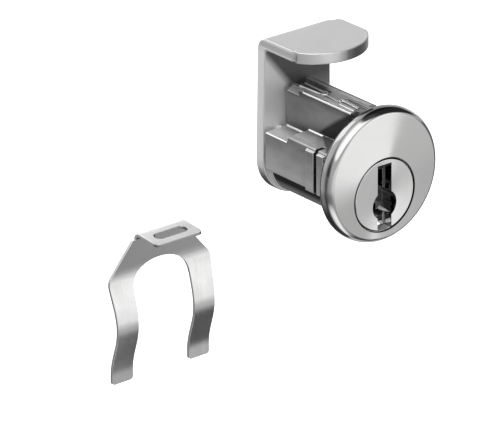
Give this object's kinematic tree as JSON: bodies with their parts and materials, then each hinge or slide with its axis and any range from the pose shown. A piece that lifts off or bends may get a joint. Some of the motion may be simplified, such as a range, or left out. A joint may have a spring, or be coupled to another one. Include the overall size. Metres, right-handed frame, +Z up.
{
  "type": "mailbox lock",
  "caption": "Cam lock for a mailbox door: round flange with a keyed plug, die-cast body with side ears, hook cam and a separate horseshoe clip.",
  "frame": {"origin": "on the plug's axis, in the plane of the flange's back, which meets the mailbox door", "axes": "+Y runs from the door into the box along the plug's axis, +Z points up to the pin chambers and the hook, and +X is to the right of someone who faces the keyway"},
  "size_m": [0.0631, 0.0276, 0.0453],
  "materials": {
    "die_cast_body": "bare zinc die casting, satin with a fine cast skin",
    "satin_face": "satin nickel, turned in circles",
    "satin_plug": "satin nickel on brass",
    "bright_strip": "bright pressed strip",
    "satin_cam": "satin nickel over a coined plate",
    "steel_parts": "zinc plated steel",
    "spring_steel": "rolled spring steel, lightly brushed",
    "pin_brass": "turned brass",
    "pin_spring_wire": "drawn spring wire"
  },
  "bodies": {
    "housing": {"housing": "die_cast_body", "face_cap": "satin_face", "pin_cover": "bright_strip", "stop_pins": "steel_parts", "pin_spring_1": "pin_spring_wire", "pin_spring_2": "pin_spring_wire", "pin_spring_3": "pin_spring_wire", "pin_spring_4": "pin_spring_wire", "pin_spring_5": "pin_spring_wire"},
    "plug": {"plug": "satin_plug", "stop_washer": "steel_parts", "cam": "satin_cam", "lock_washer": "steel_parts", "cam_screw": "steel_parts"},
    "bottom_pin_1": {"bottom_pin_1": "pin_brass"},
    "bottom_pin_2": {"bottom_pin_2": "pin_brass"},
    "bottom_pin_3": {"bottom_pin_3": "pin_brass"},
    "bottom_pin_4": {"bottom_pin_4": "pin_brass"},
    "bottom_pin_5": {"bottom_pin_5": "pin_brass"},
    "driver_pin_1": {"driver_pin_1": "pin_brass"},
    "driver_pin_2": {"driver_pin_2": "pin_brass"},
    "driver_pin_3": {"driver_pin_3": "pin_brass"},
    "driver_pin_4": {"driver_pin_4": "pin_brass"},
    "driver_pin_5": {"driver_pin_5": "pin_brass"},
    "clip": {"retaining_clip": "spring_steel"}
  },
  "joints": [
    {"name": "plug_turn", "type": "hinge", "parent": "housing", "child": "plug", "pos_m": [0, 0, 0], "axis": [0, 1, 0], "range_deg": [0, 90]},
    {"name": "bottom_pin_1_drop", "type": "slide", "parent": "plug", "child": "bottom_pin_1", "axis": [0, 0, -1], "range_m": [0, 0.0015]},
    {"name": "bottom_pin_2_drop", "type": "slide", "parent": "plug", "child": "bottom_pin_2", "axis": [0, 0, -1], "range_m": [0, 0.0006]},
    {"name": "bottom_pin_3_drop", "type": "slide", "parent": "plug", "child": "bottom_pin_3", "axis": [0, 0, -1], "range_m": [0, 0.0012]},
    {"name": "bottom_pin_4_drop", "type": "slide", "parent": "plug", "child": "bottom_pin_4", "axis": [0, 0, -1], "range_m": [0, 0.0003]},
    {"name": "bottom_pin_5_drop", "type": "slide", "parent": "plug", "child": "bottom_pin_5", "axis": [0, 0, -1], "range_m": [0, 0.0009]},
    {"name": "driver_pin_1_lift", "type": "slide", "parent": "housing", "child": "driver_pin_1", "axis": [0, 0, 1], "range_m": [0, 0.0008], "stiffness_N_per_m": 120, "springref_m": -0.002, "deforming": ["pin_spring_1"]},
    {"name": "driver_pin_2_lift", "type": "slide", "parent": "housing", "child": "driver_pin_2", "axis": [0, 0, 1], "range_m": [0, 0.0008], "stiffness_N_per_m": 120, "springref_m": -0.002, "deforming": ["pin_spring_2"]},
    {"name": "driver_pin_3_lift", "type": "slide", "parent": "housing", "child": "driver_pin_3", "axis": [0, 0, 1], "range_m": [0, 0.0008], "stiffness_N_per_m": 120, "springref_m": -0.002, "deforming": ["pin_spring_3"]},
    {"name": "driver_pin_4_lift", "type": "slide", "parent": "housing", "child": "driver_pin_4", "axis": [0, 0, 1], "range_m": [0, 0.0008], "stiffness_N_per_m": 120, "springref_m": -0.002, "deforming": ["pin_spring_4"]},
    {"name": "driver_pin_5_lift", "type": "slide", "parent": "housing", "child": "driver_pin_5", "axis": [0, 0, 1], "range_m": [0, 0.0008], "stiffness_N_per_m": 120, "springref_m": -0.002, "deforming": ["pin_spring_5"]},
    {"name": "clip_lift", "type": "slide", "parent": "housing", "child": "clip", "axis": [0, 0, 1], "range_m": [0, 0.01]}
  ],
  "couplings": [
    {"joint": "bottom_pin_2_drop", "follows": "bottom_pin_1_drop", "ratio": 0.4},
    {"joint": "bottom_pin_3_drop", "follows": "bottom_pin_1_drop", "ratio": 0.8},
    {"joint": "bottom_pin_4_drop", "follows": "bottom_pin_1_drop", "ratio": 0.2},
    {"joint": "bottom_pin_5_drop", "follows": "bottom_pin_1_drop", "ratio": 0.6},
    {"joint": "driver_pin_2_lift", "follows": "driver_pin_1_lift", "ratio": 1},
    {"joint": "driver_pin_3_lift", "follows": "driver_pin_1_lift", "ratio": 1},
    {"joint": "driver_pin_4_lift", "follows": "driver_pin_1_lift", "ratio": 1},
    {"joint": "driver_pin_5_lift", "follows": "driver_pin_1_lift", "ratio": 1}
  ]
}
